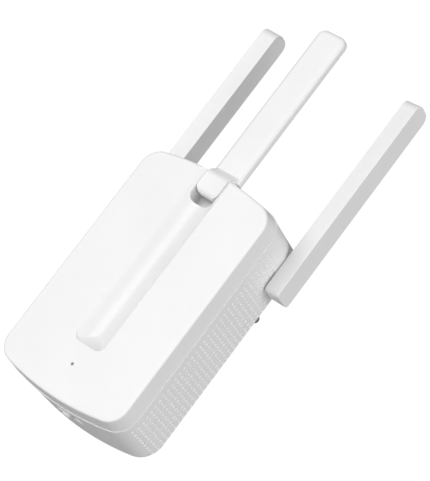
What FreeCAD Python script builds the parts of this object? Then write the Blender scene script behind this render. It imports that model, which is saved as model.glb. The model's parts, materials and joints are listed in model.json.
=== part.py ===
"""Plug-in wifi range extender with three folding antennas, in millimetres.

X runs to the right as seen from the front, Y runs from the front towards the wall and Z runs up.
The origin is the middle of the plug's face, midway between the two pins.
"""
import FreeCAD, Part
import math
import os

Vector = FreeCAD.Vector

# ---- driving dimensions ----------------------------------------------------------------------
BODY_DEPTH = 37.0            # front of the cover to the back of the housing
BOSS_LENGTH = 18.5           # plug boss behind the housing, as deep as a recessed wall socket
PLUG_HEIGHT = 79.0           # plug axis above the level that heights are measured from
WALL = 1.8

FRONT_HALF_WIDTH = 32.3
SEAM_HALF_WIDTH = 33.0
BACK_HALF_WIDTH = 32.5
SEAM_DEPTH = 9.2             # cover meets housing this far behind the front face
FRONT_LOW = -1.0             # lowest and highest points of the outline on the centre line
FRONT_HIGH = 106.0
SEAM_LOW = -1.5
SEAM_HIGH = 107.2
BACK_LOW = -1.7
BACK_HIGH = 106.4
FRONT_CORNER = 8.3
SEAM_CORNER = 10.0
BACK_CORNER = 10.4
BOW_RADIUS = 130.0           # bowed top and bottom edges
FRONT_EDGE = 0.8
BACK_EDGE = 2.0
BEAD_PROUD = 0.3
BEAD_WIDTH = 0.7

CHANNEL_HALF_WIDTH = 7.6
CHANNEL_DEPTH = 3.3
CHANNEL_END = 22.2           # height of the channel's lower rim
CHANNEL_RAMP = 6.4
CHANNEL_CORNER = 3.6

NOTCH_HALF_WIDTH = 5.7
NOTCH_LOW = 92.2
NOTCH_BACK = 10.3
NOTCH_SILL = 8.5             # depth of the notch at its lower end, before its back slopes away
NOTCH_KNEE = 98.0            # height at which the sloping back reaches full depth
NOTCH_CORNER = 3.3
NOTCH_WALL = 1.6             # thickness of the pocket behind the notch
POCKET_TOP = 105.0           # just under the housing's top wall

LIP_ROOT = 3.0               # cover's inner lip, which locates it in the housing
LIP_LENGTH = 2.0
LIP_THICKNESS = 1.0
LIP_PLAY = 0.1
COVER_POST_RADIUS = 2.8
COVER_POST_END = 13.0
BOARD_POST_RADIUS = 2.2
REAR_POST_RADIUS = 3.6
REAR_BORE_RADIUS = 2.4
POWER_POST_RADIUS = 2.4

SIDE_HINGE_DEPTH = 29.3
SIDE_HINGE_HEIGHT = 93.1
SIDE_BARREL_RADIUS = 4.0
SIDE_BARREL_PLAY = 0.06
SIDE_ANTENNA_INNER = 33.55
SIDE_ANTENNA_OUTER = 40.75
SIDE_ANTENNA_DEPTH = 9.9     # at the inner side
SIDE_ANTENNA_SPREAD = 0.75   # how much further each face stands out at the outer side
SIDE_ANTENNA_EDGE = 0.25
SIDE_ANTENNA_TOP = 177.0
SIDE_ANTENNA_BOTTOM = 81.2
ANTENNA_WALL = 1.2
COVER_LEDGE = 0.6            # width of the shell's rim around a side antenna's inner cover
FOOT_CORNER = 2.0
TIP_CORNER = 3.8
BARREL_END = 26.0            # inner end of a hinge barrel, inside the housing
BARREL_BORE_RADIUS = 1.6
CLIP_OFFSET = 0.9            # clip groove from the barrel's inner end
CLIP_GROOVE = 0.8
CLIP_SEAT_RADIUS = 3.2
CLIP_RADIUS = 5.6
CLIP_GAP = 2.2
WASHER_RADIUS = 5.7
WASHER_THICKNESS = 0.8
HINGE_PAD_RADIUS = 6.2
HINGE_PAD_DRAFT = 0.6
HINGE_PAD_INNER = 28.6
HINGE_PAD_FACE = 33.0

MIDDLE_HINGE_DEPTH = 3.7
MIDDLE_HINGE_HEIGHT = 102.2
MIDDLE_BLADE_FRONT = 6.1
MIDDLE_BLADE_BACK = 10.8
MIDDLE_BLADE_HALF_WIDTH = 6.8
MIDDLE_BLADE_LOW = 107.9
MIDDLE_BLADE_TOP = 181.0
BLADE_EDGE = 1.7
BLADE_TIP_CORNER = 3.4
BLADE_WALL = 1.6
BLADE_BACK_WALL = 0.8
BLADE_HOLLOW_START = 5.0
KNUCKLE_HALF_WIDTH = 5.55
KNUCKLE_FRONT = 2.2          # front of the knuckle ahead of the hinge axis
KNUCKLE_DROP = 5.7
KNUCKLE_CORNER = 3.4
HINGE_PIN_RADIUS = 1.25
HINGE_PIN_PLAY = 0.05
HINGE_PIN_SEAT = 1.2         # how deep the pin sits in the pocket's side walls
STRIP_THICKNESS = 0.8

BOSS_RADIUS = 18.0
BOSS_FLAT = 16.4             # half the distance between the boss's two flats
BOSS_FLANGE = 2.0
FLANGE_RADIUS = 20.4
BOSS_EDGE = 1.6
BOSS_PLAY = 0.1
BOSS_HOLLOW_RADIUS = 15.0
BOSS_FACE_THICKNESS = 3.0
PIN_SOCKET_RADIUS = 3.2
PIN_SOCKET_LENGTH = 7.0
PIN_PITCH = 18.6
PIN_RADIUS = 2.0
PIN_LENGTH = 19.0
SLEEVE_LENGTH = 10.0
SLEEVE_RADIUS = 1.75
PIN_CORE_RADIUS = 1.5
PIN_TAIL = 10.0              # bare core behind the plug's face
PIN_TIP_ROUND = 1.5
CONTACT_WIDTH = 3.0
CONTACT_THICKNESS = 0.6

BOARD_DEPTH = 15.0           # front of the main board behind the cover's front face
BOARD_THICKNESS = 1.2
BOARD_HALF_WIDTH = 25.0
BOARD_LOW = 12.0
BOARD_HIGH = 88.0
POWER_BOARD_DEPTH = 30.4
POWER_BOARD_THICKNESS = 1.6
POWER_BOARD_HALF_WIDTH = 22.0
POWER_BOARD_LOW = 38.0
POWER_BOARD_HIGH = 92.0
BOARD_CORNER = 1.5
BOARD_HOLE_RADIUS = 1.1

TRANSFORMER_HEIGHT = 61.0
CORE_HALF_SIZE = (10.0, 9.0)
CORE_RISE = 11.0
CORE_LIMB = 3.0
COIL_SIZE = (13.6, 11.0, 11.6)
CAN_ROUND = 0.6
CAN_GROOVE_OFFSET = 1.8
CAN_GROOVE_DEPTH = 0.4
RESISTOR_RADIUS = 2.1
LEG_RADIUS = 0.3
SHIELD_HALF_SIZE = (14.0, 12.0)
SHIELD_RISE = 3.2
SHIELD_SHEET = 0.3
CHIP_HEIGHT = 60.0
CHIP_RISE = 0.9
LED_RISE = 0.8
SOCKET_X = 17.0              # side antenna sockets either side of the middle one
SOCKET_HEIGHT = 84.0
SOCKET_RISE = 1.4
LEAD_RADIUS = 0.6
LEAD_BEND_SHARE = 0.45       # share of the shorter run next to a bend that the bend takes up

BUTTON_DEPTH = 18.0
BUTTON_HALF_WIDTH = 2.0
BUTTON_HALF_DEPTH = 1.5
BUTTON_PLAY = 0.2
BUTTON_PROUD = 1.1
RECESS_HALF_WIDTH = 7.6      # shallow recess in the bottom wall around the button
RECESS_HALF_DEPTH = 3.0
RECESS_CORNER = 1.5
RECESS_DEPTH = 0.7
PLUNGER_RADIUS = 1.2
PLUNGER_LOW = 7.4
SWITCH_LOW = 9.0
SWITCH_HIGH = 14.5
LIGHT_HEIGHT = 13.4
LIGHT_RADIUS = 0.65
LIGHT_PIPE_RADIUS = 1.2
LIGHT_GUIDE_RADIUS = 2.2
LIGHT_GUIDE_LENGTH = 5.0

SCREW_PLACES = ((-26.0, 7.5), (26.0, 7.5), (-21.0, 97.5), (21.0, 97.5))
BOARD_SCREW_PLACES = ((-20.0, 30.0), (20.0, 30.0), (-20.0, 76.0), (20.0, 76.0))
POWER_SCREW_PLACES = ((-18.0, 44.0), (18.0, 44.0))
SCREW_SEAT_DEPTH = 17.0
SCREW_HOLE_RADIUS = 1.45
HOUSING_PILOT_RADIUS = 1.25
BOARD_PILOT_RADIUS = 0.85
PILOT_START = 4.0            # depth at which the cover's screw pilots begin
HOUSING_SCREW = (2.2, 1.2, 1.8, 9.0)     # head radius, shank radius, head length, shank length
BOARD_SCREW = (1.9, 0.8, 1.2, 6.0)
POWER_BOARD_SCREW = (1.9, 0.8, 1.2, 4.0)
RECESS_CUT = 0.6             # depth of a screw's cross recess

# ---- places worked out from them -------------------------------------------------------------
FRONT_Y = -(BODY_DEPTH + BOSS_LENGTH)
ALONG_X = Vector(1, 0, 0)
ALONG_Y = Vector(0, 1, 0)
ALONG_Z = Vector(0, 0, 1)
TOUCHING = 1e-6
CLEAR = 1.0                  # how far a cutter reaches past the surface it opens


def depth(distance):
    """Y of a point this far behind the cover's front face."""
    return FRONT_Y + distance


def height(level):
    """Z of a point at this height above the level the heights are measured from."""
    return level - PLUG_HEIGHT


# ---- basic solids ----------------------------------------------------------------------------
def box(x_span, depth_span, height_span):
    """A block between two X values, two depths and two heights."""
    corner = Vector(x_span[0], depth(depth_span[0]), height(height_span[0]))
    return Part.makeBox(x_span[1] - x_span[0], depth_span[1] - depth_span[0],
                        height_span[1] - height_span[0], corner)


def centred_box(centre, size):
    """A block about a centre given as X, depth and height."""
    spans = [(middle - full / 2, middle + full / 2) for middle, full in zip(centre, size)]
    return box(*spans)


def rod(radius, start, length, axis):
    """A round bar from a point given as X, depth and height."""
    return Part.makeCylinder(radius, length, Vector(start[0], depth(start[1]), height(start[2])), axis)


def tube(outer, inner, start, length, axis):
    return rod(outer, start, length, axis).cut(rod(inner, start, length, axis))


def cone(radius_start, radius_end, start, length, axis):
    return Part.makeCone(radius_start, radius_end, length,
                         Vector(start[0], depth(start[1]), height(start[2])), axis)


def joined(shapes):
    """One solid from shapes that touch or overlap."""
    result = shapes[0]
    for shape in shapes[1:]:
        result = result.fuse(shape)
    return result.removeSplitter()


def without(shape, cutters):
    for cutter in cutters:
        shape = shape.cut(cutter)
    return shape


def mirrored(shape):
    """The same piece on the other side of the centre plane."""
    return shape.mirror(Vector(0, 0, 0), ALONG_X)


def group(solids):
    return Part.makeCompound(solids)


def edges_where(shape, test):
    """Edges whose end points and middle all satisfy a test."""
    chosen = []
    for edge in shape.Edges:
        middle = edge.valueAt((edge.FirstParameter + edge.LastParameter) / 2)
        points = [vertex.Point for vertex in edge.Vertexes] + [middle]
        if all(test(point) for point in points):
            chosen.append(edge)
    return chosen


def near(value, target, tolerance=0.01):
    return abs(value - target) < tolerance


def rim_edges(rounded, radius):
    """The full circles of a radius on a round solid."""
    return [edge for edge in rounded.Edges if near(edge.Length, 2 * math.pi * radius, 0.1)]


def corner_turn(previous, corner, following, radius):
    """Start, middle and end of the arc that rounds a corner."""
    before = (previous - corner).normalize()
    after = (following - corner).normalize()
    half_turn = before.getAngle(after) / 2
    reach = radius / math.tan(half_turn)
    dip = radius / math.sin(half_turn) - radius
    return corner + before * reach, corner + (before + after).normalize() * dip, corner + after * reach


def rounded_profile(corners, radii):
    """A closed wire through corner points, each turned by an arc of its own radius."""
    previous = corners[-1:] + corners[:-1]
    following = corners[1:] + corners[:1]
    turns = [corner_turn(*around) for around in zip(previous, corners, following, radii)]
    pieces = []
    for index, (start, middle, finish) in enumerate(turns):
        if radii[index] > 0:
            pieces.append(Part.Arc(start, middle, finish).toShape())
        next_start = turns[(index + 1) % len(turns)][0]
        if finish.distanceToPoint(next_start) > TOUCHING:
            pieces.append(Part.makeLine(finish, next_start))
    return Part.Wire(pieces)


def plate(points, radii, normal, thickness):
    """A rounded outline, given as 3-D corner points, made solid along a direction."""
    return Part.Face(rounded_profile(points, radii)).extrude(normal * thickness)


def side_plate(outline, radii, x_span):
    """A solid whose outline is given as depth and height pairs."""
    points = [Vector(x_span[0], depth(d), height(h)) for d, h in outline]
    return plate(points, radii, ALONG_X, x_span[1] - x_span[0])


def front_plate(outline, radii, depth_span):
    """A solid whose outline is given as X and height pairs."""
    points = [Vector(x, depth(depth_span[0]), height(h)) for x, h in outline]
    return plate(points, radii, ALONG_Y, depth_span[1] - depth_span[0])


def rectangle(half_width, low, high):
    return [(-half_width, low), (half_width, low), (half_width, high), (-half_width, high)]


# ---- the housing's outer form ----------------------------------------------------------------
def form_at(distance):
    """Half width, lowest and highest point and corner radius of the outline at a depth."""
    front = (FRONT_HALF_WIDTH, FRONT_LOW, FRONT_HIGH, FRONT_CORNER)
    seam = (SEAM_HALF_WIDTH, SEAM_LOW, SEAM_HIGH, SEAM_CORNER)
    back = (BACK_HALF_WIDTH, BACK_LOW, BACK_HIGH, BACK_CORNER)
    if distance <= SEAM_DEPTH:
        share = distance / SEAM_DEPTH
        return [a + (b - a) * share for a, b in zip(front, seam)]
    share = (distance - SEAM_DEPTH) / (BODY_DEPTH - SEAM_DEPTH)
    return [a + (b - a) * share for a, b in zip(seam, back)]


def form_wire(distance, inset):
    """Outline at a depth: straight sides, round corners and bowed top and bottom."""
    half_width, low, high, corner = form_at(distance)
    half_width -= inset
    low += inset
    high -= inset
    corner -= inset
    bow = BOW_RADIUS - inset
    corner_x = half_width - corner
    corner_rise = bow - math.sqrt((bow - corner) ** 2 - corner_x ** 2)
    lean = math.asin(corner_x / (bow - corner))
    touch_x = bow * math.sin(lean)
    touch_rise = bow * (1 - math.cos(lean))
    mid_angle = (math.pi / 2 + lean) / 2
    mid_x = corner_x + corner * math.sin(mid_angle)
    mid_rise = corner_rise - corner * math.cos(mid_angle)
    y = depth(distance)

    def point(x, rise, from_low):
        z = low + rise if from_low else high - rise
        return Vector(x, y, height(z))

    def corner_arc(sign, from_low):
        return Part.Arc(point(sign * touch_x, touch_rise, from_low), point(sign * mid_x, mid_rise, from_low),
                        point(sign * half_width, corner_rise, from_low)).toShape()

    def bow_arc(from_low):
        return Part.Arc(point(-touch_x, touch_rise, from_low), point(0, 0, from_low),
                        point(touch_x, touch_rise, from_low)).toShape()

    def side(sign):
        return Part.makeLine(point(sign * half_width, corner_rise, True),
                             point(sign * half_width, corner_rise, False))

    return Part.Wire([bow_arc(True), corner_arc(1, True), side(1), corner_arc(1, False),
                      bow_arc(False), corner_arc(-1, False), side(-1), corner_arc(-1, True)])


def form_slab(start, finish, inset):
    """The housing's form between two depths on one side of the seam, shrunk by an inset."""
    return Part.makeLoft([form_wire(start, inset), form_wire(finish, inset)], True, True)


def form_ring(start, finish, outer_inset, inner_inset):
    return form_slab(start, finish, outer_inset).cut(form_slab(start, finish, inner_inset))


def bottom_at(distance):
    return form_at(distance)[1]


# ---- front cover -----------------------------------------------------------------------------
def trough_arc(half_width, sag, spot):
    """Arc through three places, deepest in the middle; the spot function turns offsets into places."""
    return Part.Arc(spot(-half_width, 0), spot(0, sag), spot(half_width, 0)).toShape()


def channel_trough(high):
    """Round-bottomed trough along the whole front."""
    def spot(x, distance):
        return Vector(x, depth(distance), height(0))

    left = spot(-CHANNEL_HALF_WIDTH, 0)
    right = spot(CHANNEL_HALF_WIDTH, 0)
    outline = [trough_arc(CHANNEL_HALF_WIDTH, CHANNEL_DEPTH, spot),
               Part.makeLine(right, spot(CHANNEL_HALF_WIDTH, -CLEAR)),
               Part.makeLine(spot(CHANNEL_HALF_WIDTH, -CLEAR), spot(-CHANNEL_HALF_WIDTH, -CLEAR)),
               Part.makeLine(spot(-CHANNEL_HALF_WIDTH, -CLEAR), left)]
    return Part.Face(Part.Wire(outline)).extrude(ALONG_Z * high)


def channel_ramp(high):
    """Block whose lower end rises to the front face along an arc."""
    radius = (CHANNEL_RAMP ** 2 + CHANNEL_DEPTH ** 2) / (2 * CHANNEL_DEPTH)
    half_angle = math.asin(CHANNEL_RAMP / radius) / 2
    top = CHANNEL_END + CHANNEL_RAMP

    def place(distance, level):
        return Vector(-CHANNEL_HALF_WIDTH - CLEAR, depth(distance), height(level))

    middle = place(CHANNEL_DEPTH - radius * (1 - math.cos(half_angle)), top - radius * math.sin(half_angle))
    floor_start = place(CHANNEL_DEPTH, top)
    outline = [Part.Arc(place(0, CHANNEL_END), middle, floor_start).toShape(),
               Part.makeLine(floor_start, place(CHANNEL_DEPTH, high)),
               Part.makeLine(place(CHANNEL_DEPTH, high), place(-CLEAR, high)),
               Part.makeLine(place(-CLEAR, high), place(-CLEAR, CHANNEL_END)),
               Part.makeLine(place(-CLEAR, CHANNEL_END), place(0, CHANNEL_END))]
    return Part.Face(Part.Wire(outline)).extrude(ALONG_X * 2 * (CHANNEL_HALF_WIDTH + CLEAR))


def channel_cutter():
    """The shallow channel that the middle antenna folds into."""
    high = FRONT_HIGH + 10 * CLEAR
    outline = front_plate(rectangle(CHANNEL_HALF_WIDTH, CHANNEL_END, high),
                          (CHANNEL_CORNER, CHANNEL_CORNER, 0, 0), (-CLEAR, CHANNEL_DEPTH + CLEAR))
    return channel_trough(high).common(channel_ramp(high)).common(outline)


def notch_cutter():
    """Opening for the middle antenna's knuckle, with a back that slopes away from its lower end."""
    high = FRONT_HIGH + 10 * CLEAR
    profile = [(-CLEAR, NOTCH_LOW), (NOTCH_SILL, NOTCH_LOW), (NOTCH_BACK, NOTCH_KNEE),
               (NOTCH_BACK, high), (-CLEAR, high)]
    across = side_plate(profile, (0, 0, 0, 0, 0), (-NOTCH_HALF_WIDTH, NOTCH_HALF_WIDTH))
    outline = front_plate(rectangle(NOTCH_HALF_WIDTH, NOTCH_LOW, high),
                          (NOTCH_CORNER, NOTCH_CORNER, 0, 0), (-CLEAR, NOTCH_BACK + CLEAR))
    return across.common(outline)


def front_cover():
    outer = form_slab(0, SEAM_DEPTH, 0)
    front_edges = edges_where(outer, lambda point: near(point.y, FRONT_Y))
    outer = outer.makeFillet(FRONT_EDGE, front_edges)
    shell = outer.cut(form_slab(WALL, SEAM_DEPTH, WALL))
    lip_root = form_ring(SEAM_DEPTH - LIP_ROOT, SEAM_DEPTH, WALL - 0.3, WALL + LIP_THICKNESS)
    lip = form_ring(SEAM_DEPTH, SEAM_DEPTH + LIP_LENGTH, WALL + LIP_PLAY, WALL + LIP_THICKNESS)
    backing_half = CHANNEL_HALF_WIDTH + NOTCH_WALL
    backing = box((-backing_half, backing_half), (WALL / 2, CHANNEL_DEPTH + NOTCH_WALL),
                  (CHANNEL_END - NOTCH_WALL, POCKET_TOP))
    pocket_half = NOTCH_HALF_WIDTH + NOTCH_WALL
    pocket = box((-pocket_half, pocket_half), (CHANNEL_DEPTH, NOTCH_BACK + NOTCH_WALL),
                 (NOTCH_LOW - NOTCH_WALL, POCKET_TOP))
    screw_posts = [rod(COVER_POST_RADIUS, (x, WALL / 2, z), COVER_POST_END - WALL / 2, ALONG_Y)
                   for x, z in SCREW_PLACES]
    board_posts = [rod(BOARD_POST_RADIUS, (x, WALL / 2, z), BOARD_DEPTH - WALL / 2, ALONG_Y)
                   for x, z in BOARD_SCREW_PLACES]
    light_guide = tube(LIGHT_GUIDE_RADIUS, LIGHT_PIPE_RADIUS + 0.1, (0, WALL / 2, LIGHT_HEIGHT),
                       LIGHT_GUIDE_LENGTH, ALONG_Y)
    cover = joined([shell, lip_root, lip, backing, pocket, light_guide] + screw_posts + board_posts)
    pilots = [rod(HOUSING_PILOT_RADIUS, (x, PILOT_START, z), COVER_POST_END, ALONG_Y)
              for x, z in SCREW_PLACES]
    board_pilots = [rod(BOARD_PILOT_RADIUS, (x, PILOT_START, z), BOARD_DEPTH, ALONG_Y)
                    for x, z in BOARD_SCREW_PLACES]
    axle_reach = NOTCH_HALF_WIDTH + HINGE_PIN_SEAT
    axle_hole = rod(HINGE_PIN_RADIUS, (-axle_reach, MIDDLE_HINGE_DEPTH, MIDDLE_HINGE_HEIGHT),
                    2 * axle_reach, ALONG_X)
    light_hole = rod(LIGHT_RADIUS, (0, -CLEAR, LIGHT_HEIGHT), 4.0, ALONG_Y)
    return without(cover, [channel_cutter(), notch_cutter(), axle_hole, light_hole] + pilots + board_pilots)


# ---- rear housing ----------------------------------------------------------------------------
def button_bar(grow, low, high):
    """Round-ended upright bar that the button's stem, its flange and their hole share."""
    half_width = BUTTON_HALF_WIDTH + grow
    half_depth = BUTTON_HALF_DEPTH + grow
    corners = ((-half_width, -half_depth), (half_width, -half_depth),
               (half_width, half_depth), (-half_width, half_depth))
    points = [Vector(x, depth(BUTTON_DEPTH + d), height(low)) for x, d in corners]
    return plate(points, [half_depth - 0.01] * 4, ALONG_Z, high - low)


def button_recess(low):
    """Shallow round-cornered recess in the bottom wall around the button."""
    corners = ((-RECESS_HALF_WIDTH, -RECESS_HALF_DEPTH), (RECESS_HALF_WIDTH, -RECESS_HALF_DEPTH),
               (RECESS_HALF_WIDTH, RECESS_HALF_DEPTH), (-RECESS_HALF_WIDTH, RECESS_HALF_DEPTH))
    points = [Vector(x, depth(BUTTON_DEPTH + d), height(low)) for x, d in corners]
    return plate(points, [RECESS_CORNER] * 4, ALONG_Z, bottom_at(BUTTON_DEPTH) + RECESS_DEPTH - low)


def hinge_pads():
    """Thick pads inside and outside the right-hand wall that carry a side antenna's barrel."""
    inner = rod(HINGE_PAD_RADIUS, (HINGE_PAD_INNER, SIDE_HINGE_DEPTH, SIDE_HINGE_HEIGHT),
                SEAM_HALF_WIDTH - WALL / 2 - HINGE_PAD_INNER, ALONG_X)
    outer_start = SEAM_HALF_WIDTH - WALL
    outer = cone(HINGE_PAD_RADIUS, HINGE_PAD_RADIUS - HINGE_PAD_DRAFT,
                 (outer_start, SIDE_HINGE_DEPTH, SIDE_HINGE_HEIGHT), HINGE_PAD_FACE - outer_start, ALONG_X)
    return [inner, outer]


def rear_housing():
    outer = form_slab(SEAM_DEPTH, BODY_DEPTH, 0)
    back_edges = edges_where(outer, lambda point: near(point.y, depth(BODY_DEPTH)))
    outer = outer.makeFillet(BACK_EDGE, back_edges)
    shell = outer.cut(form_slab(SEAM_DEPTH, BODY_DEPTH - WALL, WALL))
    bead = form_ring(SEAM_DEPTH, SEAM_DEPTH + BEAD_WIDTH, -BEAD_PROUD, WALL / 3)
    pads = hinge_pads() + [mirrored(pad) for pad in hinge_pads()]
    inside = form_slab(SEAM_DEPTH, BODY_DEPTH - WALL / 2, WALL / 2)
    posts = [rod(REAR_POST_RADIUS, (x, COVER_POST_END, z), BODY_DEPTH, ALONG_Y).common(inside)
             for x, z in SCREW_PLACES]
    board_back = POWER_BOARD_DEPTH + POWER_BOARD_THICKNESS
    board_posts = [rod(POWER_POST_RADIUS, (x, board_back, z), BODY_DEPTH - WALL / 2 - board_back, ALONG_Y)
                   for x, z in POWER_SCREW_PLACES]
    housing = joined([shell, bead] + pads + posts + board_posts)
    counterbores = [rod(REAR_BORE_RADIUS, (x, SCREW_SEAT_DEPTH, z), BODY_DEPTH, ALONG_Y)
                    for x, z in SCREW_PLACES]
    screw_holes = [rod(SCREW_HOLE_RADIUS, (x, COVER_POST_END - CLEAR, z), 6.0, ALONG_Y)
                   for x, z in SCREW_PLACES]
    pilots = [rod(BOARD_PILOT_RADIUS, (x, POWER_BOARD_DEPTH, z), 4.5, ALONG_Y)
              for x, z in POWER_SCREW_PLACES]
    barrel_hole = rod(SIDE_BARREL_RADIUS + SIDE_BARREL_PLAY,
                      (BARREL_END, SIDE_HINGE_DEPTH, SIDE_HINGE_HEIGHT),
                      SEAM_HALF_WIDTH - BARREL_END + CLEAR, ALONG_X)
    boss_hole = rod(BOSS_RADIUS + BOSS_PLAY, (0, BODY_DEPTH - WALL - BOSS_FLANGE - CLEAR, PLUG_HEIGHT),
                    BODY_DEPTH, ALONG_Y)
    low = bottom_at(BUTTON_DEPTH) - BUTTON_PROUD - CLEAR
    button_hole = button_bar(BUTTON_PLAY, low, 4.0)
    return without(housing, counterbores + screw_holes + pilots
                   + [barrel_hole, mirrored(barrel_hole), boss_hole, button_recess(low), button_hole])


# ---- plug ------------------------------------------------------------------------------------
def plug_boss():
    """Pin carrier: a round boss with two flats, held by a flange inside the back wall."""
    flange_start = BODY_DEPTH - WALL - BOSS_FLANGE
    full_length = BODY_DEPTH + BOSS_LENGTH
    flange = rod(FLANGE_RADIUS, (0, flange_start, PLUG_HEIGHT), BOSS_FLANGE, ALONG_Y)
    barrel = rod(BOSS_RADIUS, (0, flange_start, PLUG_HEIGHT), full_length - flange_start, ALONG_Y)
    barrel = barrel.makeFillet(BOSS_EDGE, edges_where(barrel, lambda point: near(point.y, 0)))
    flats = [box((-FLANGE_RADIUS, FLANGE_RADIUS), (BODY_DEPTH, full_length + CLEAR), levels)
             for levels in ((PLUG_HEIGHT + BOSS_FLAT, PLUG_HEIGHT + FLANGE_RADIUS),
                            (PLUG_HEIGHT - FLANGE_RADIUS, PLUG_HEIGHT - BOSS_FLAT))]
    hollow = rod(BOSS_HOLLOW_RADIUS, (0, flange_start - CLEAR, PLUG_HEIGHT),
                 full_length - flange_start + CLEAR - BOSS_FACE_THICKNESS, ALONG_Y)
    sockets = [rod(PIN_SOCKET_RADIUS, (x, full_length - PIN_SOCKET_LENGTH, PLUG_HEIGHT),
                   PIN_SOCKET_LENGTH - CLEAR, ALONG_Y) for x in (-PIN_PITCH / 2, PIN_PITCH / 2)]
    carrier = joined([without(joined([flange, barrel]), flats + [hollow])] + sockets)
    pin_holes = [rod(SLEEVE_RADIUS, (x, full_length - PIN_SOCKET_LENGTH - CLEAR, PLUG_HEIGHT),
                     PIN_SOCKET_LENGTH + 2 * CLEAR, ALONG_Y) for x in (-PIN_PITCH / 2, PIN_PITCH / 2)]
    return without(carrier, pin_holes)


def plug_pin():
    """Right-hand pin: thin core under the sleeve and a full-width bare end with a rounded tip."""
    base = BODY_DEPTH + BOSS_LENGTH
    x = PIN_PITCH / 2
    core = rod(PIN_CORE_RADIUS, (x, base - PIN_TAIL, PLUG_HEIGHT), PIN_TAIL + SLEEVE_LENGTH, ALONG_Y)
    head = rod(PIN_RADIUS, (x, base + SLEEVE_LENGTH, PLUG_HEIGHT), PIN_LENGTH - SLEEVE_LENGTH, ALONG_Y)
    head = head.makeFillet(PIN_TIP_ROUND, edges_where(head, lambda point: near(point.y, PIN_LENGTH)))
    return joined([core, head])


def pin_sleeve():
    base = BODY_DEPTH + BOSS_LENGTH
    return tube(SLEEVE_RADIUS, PIN_CORE_RADIUS, (PIN_PITCH / 2, base - PIN_SOCKET_LENGTH, PLUG_HEIGHT),
                PIN_SOCKET_LENGTH + SLEEVE_LENGTH, ALONG_Y)


def pin_contact():
    """Strip that carries the mains from the right-hand pin's tail to the power board."""
    x = PIN_PITCH / 2
    ring_start = BODY_DEPTH + BOSS_LENGTH - PIN_TAIL + 1.6
    board_back = POWER_BOARD_DEPTH + POWER_BOARD_THICKNESS
    across = (x - CONTACT_WIDTH / 2, x + CONTACT_WIDTH / 2)
    rise = PLUG_HEIGHT + PIN_CORE_RADIUS + 0.5
    ring = tube(PIN_CORE_RADIUS + 1.3, PIN_CORE_RADIUS, (x, ring_start, PLUG_HEIGHT), 0.8, ALONG_Y)
    strip = box(across, (board_back, ring_start + 0.8), (rise, rise + CONTACT_THICKNESS))
    foot = box(across, (board_back, board_back + CONTACT_THICKNESS), (rise - 3.0, rise + CONTACT_THICKNESS))
    return joined([ring, strip, foot])


# ---- boards and what is on them --------------------------------------------------------------
def drilled_board(half_width, low, high, front, thickness, places):
    """Round-cornered circuit board with its screw holes."""
    board = front_plate(rectangle(half_width, low, high), [BOARD_CORNER] * 4, (front, front + thickness))
    return without(board, [rod(BOARD_HOLE_RADIUS, (x, front - CLEAR, z), thickness + 2 * CLEAR, ALONG_Y)
                           for x, z in places])


def main_board():
    return drilled_board(BOARD_HALF_WIDTH, BOARD_LOW, BOARD_HIGH, BOARD_DEPTH, BOARD_THICKNESS,
                         BOARD_SCREW_PLACES)


def power_board():
    return drilled_board(POWER_BOARD_HALF_WIDTH, POWER_BOARD_LOW, POWER_BOARD_HIGH, POWER_BOARD_DEPTH,
                         POWER_BOARD_THICKNESS, POWER_SCREW_PLACES)


def transformer_core():
    """Ring-shaped ferrite core standing on the power board's front."""
    half_width, half_height = CORE_HALF_SIZE
    frame = box((-half_width, half_width), (POWER_BOARD_DEPTH - CORE_RISE, POWER_BOARD_DEPTH),
                (TRANSFORMER_HEIGHT - half_height, TRANSFORMER_HEIGHT + half_height))
    window_width = half_width - CORE_LIMB
    window_height = half_height - CORE_LIMB
    window = box((-window_width, window_width), (POWER_BOARD_DEPTH - CORE_RISE - CLEAR, BODY_DEPTH),
                 (TRANSFORMER_HEIGHT - window_height, TRANSFORMER_HEIGHT + window_height))
    return frame.cut(window)


def transformer_coil():
    coil = centred_box((0, POWER_BOARD_DEPTH - 5.8, TRANSFORMER_HEIGHT), COIL_SIZE)
    return coil.makeFillet(2.4, [edge for edge in coil.Edges if near(edge.Length, COIL_SIZE[2])])


def capacitor(radius, start, length, axis):
    """Can with a rolled groove near one end and rounded rims."""
    can = rod(radius, start, length, axis)
    can = can.makeFillet(CAN_ROUND, rim_edges(can, radius))
    groove_start = [coordinate + CAN_GROOVE_OFFSET * step for coordinate, step in zip(start, axis)]
    groove = tube(radius + CLEAR, radius - CAN_GROOVE_DEPTH, groove_start, 2 * CAN_GROOVE_DEPTH, axis)
    return can.cut(groove)


def input_capacitor():
    return capacitor(4.8, (-16.4, POWER_BOARD_DEPTH - 5.0, 50.5), 16.0, ALONG_Z)


def output_capacitor():
    length = 11.5
    return capacitor(4.0, (16.5, POWER_BOARD_DEPTH - length, 76.0), length, ALONG_Y)


def fuse_resistor():
    """Round resistor lying above the power board on two bent leads."""
    left, right = (-18.5, -10.5)
    level = 86.5
    lift = RESISTOR_RADIUS + 0.1
    body = rod(RESISTOR_RADIUS, (left, POWER_BOARD_DEPTH - lift, level), right - left, ALONG_X)
    body = body.makeFillet(RESISTOR_RADIUS / 3, rim_edges(body, RESISTOR_RADIUS))
    leads = []
    for lead_start, foot in ((left - 1.7, left - 1.5), (right - 0.3, right + 1.3)):
        run = rod(LEG_RADIUS, (lead_start, POWER_BOARD_DEPTH - lift, level), 2.0, ALONG_X)
        drop = rod(LEG_RADIUS, (foot, POWER_BOARD_DEPTH - lift - 0.2, level), lift + 0.2, ALONG_Y)
        leads.append(joined([run, drop]))
    return joined([body] + leads)


def bridge_rectifier():
    front = POWER_BOARD_DEPTH - 2.6
    body = box((-6.0, 0.4), (front, POWER_BOARD_DEPTH), (84.0, 89.0))
    return body.makeChamfer(0.4, edges_where(body, lambda point: near(point.y, depth(front))))


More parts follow.
